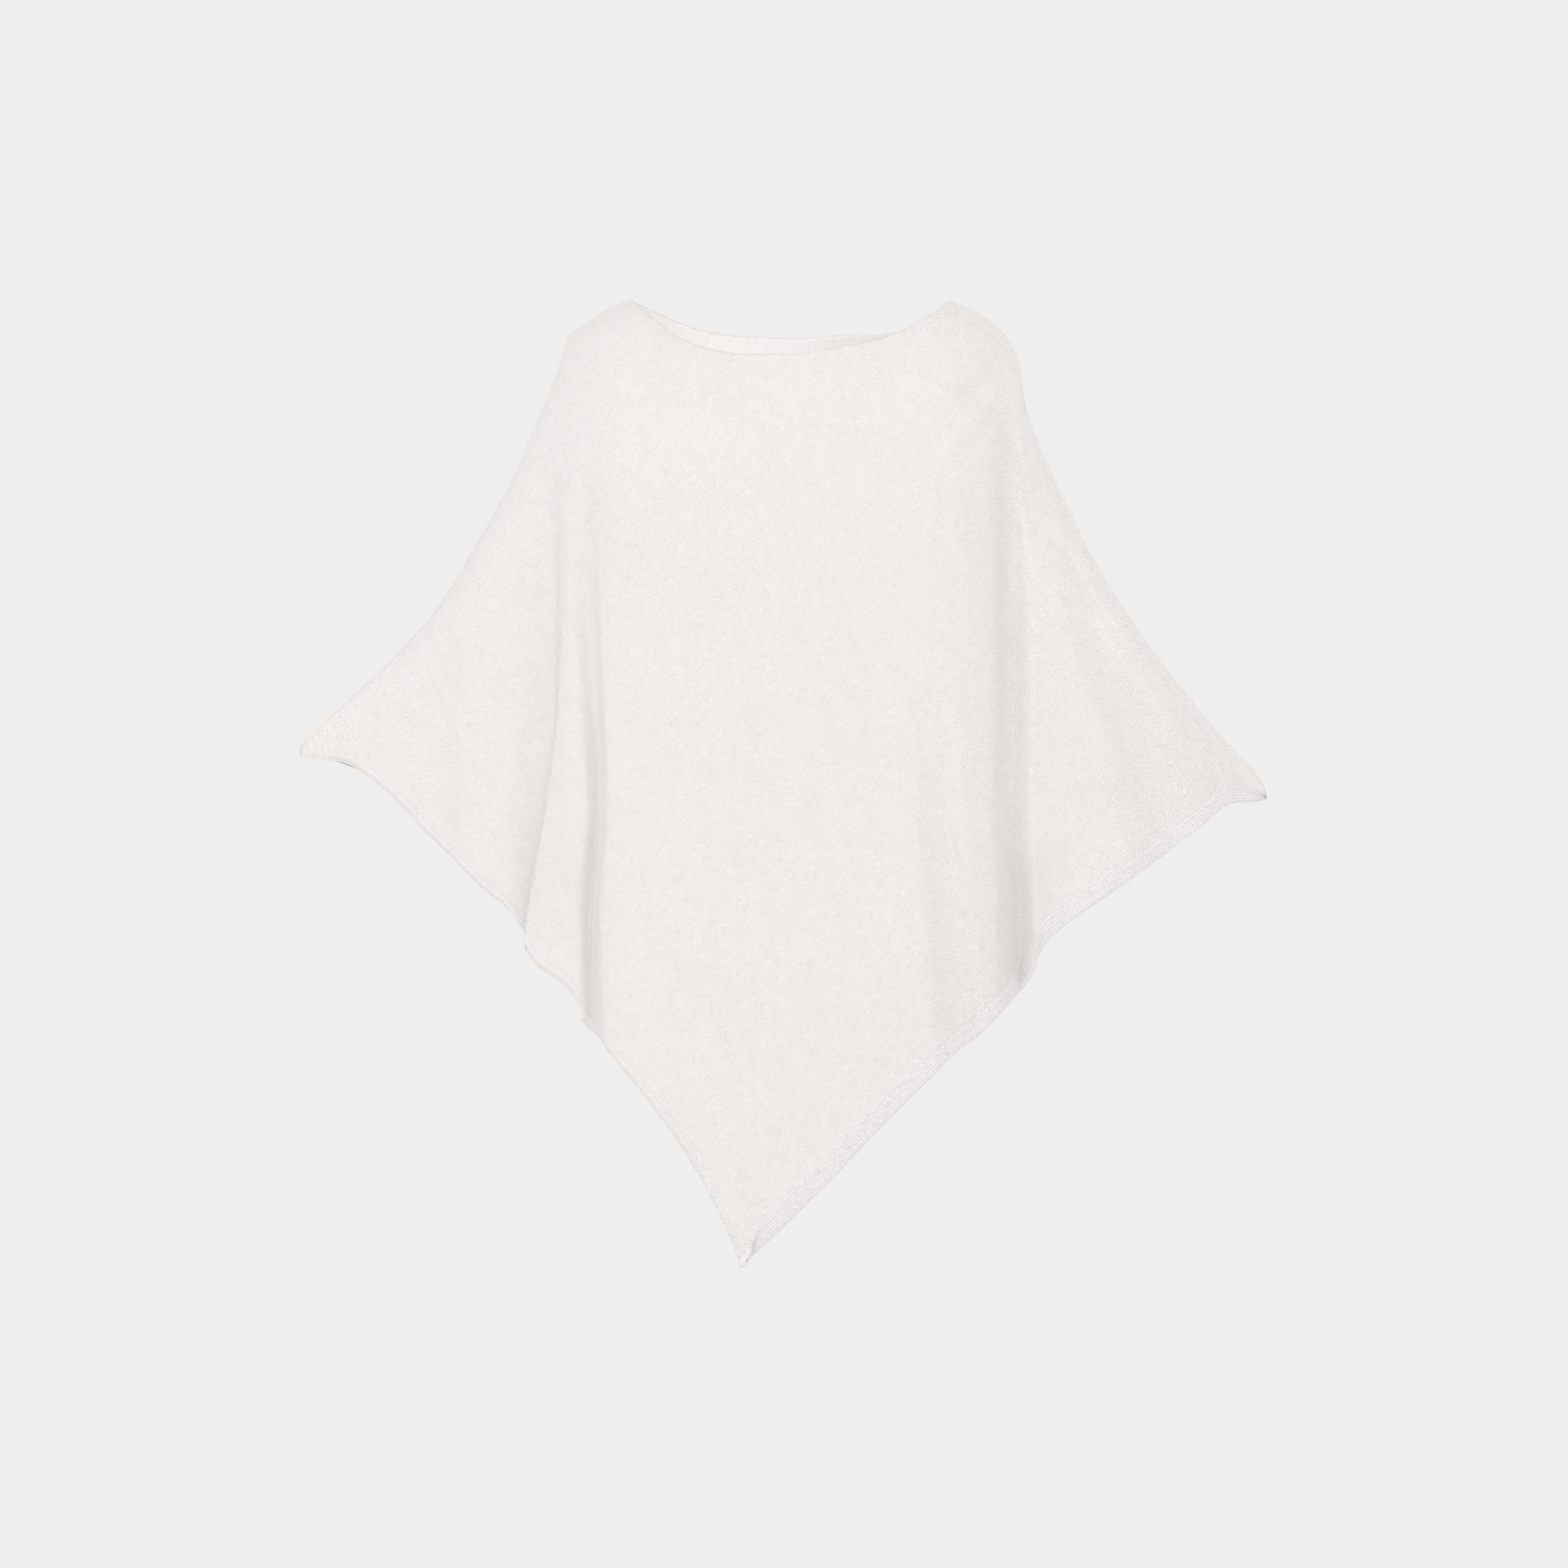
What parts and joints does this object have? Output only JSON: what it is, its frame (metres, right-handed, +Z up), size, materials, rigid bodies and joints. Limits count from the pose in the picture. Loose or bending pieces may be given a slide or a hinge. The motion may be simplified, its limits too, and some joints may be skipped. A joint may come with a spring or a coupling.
{
  "type": "knitted poncho sweater, worn form",
  "caption": "Hollow worn knitted poncho of two panels joined along the arms, with a wide neck, pointed arm ends and a pointed lower edge.",
  "frame": {"origin": "midway between the two neck corners, at the height where the shoulders carry the garment", "axes": "+Z up, the front faces -Y, the wearer's left arm is towards +X"},
  "size_m": [0.9224, 0.2492, 0.9062],
  "materials": {
    "knit": "fine matt plain knit, slightly brushed",
    "knit_edge": "fine matt plain knit, tubular edge"
  },
  "bodies": {
    "root": {"front_panel": "knit", "back_panel": "knit", "neck_trim": "knit_edge", "front_hem_band": "knit_edge", "back_hem_band": "knit_edge"}
  },
  "joints": []
}
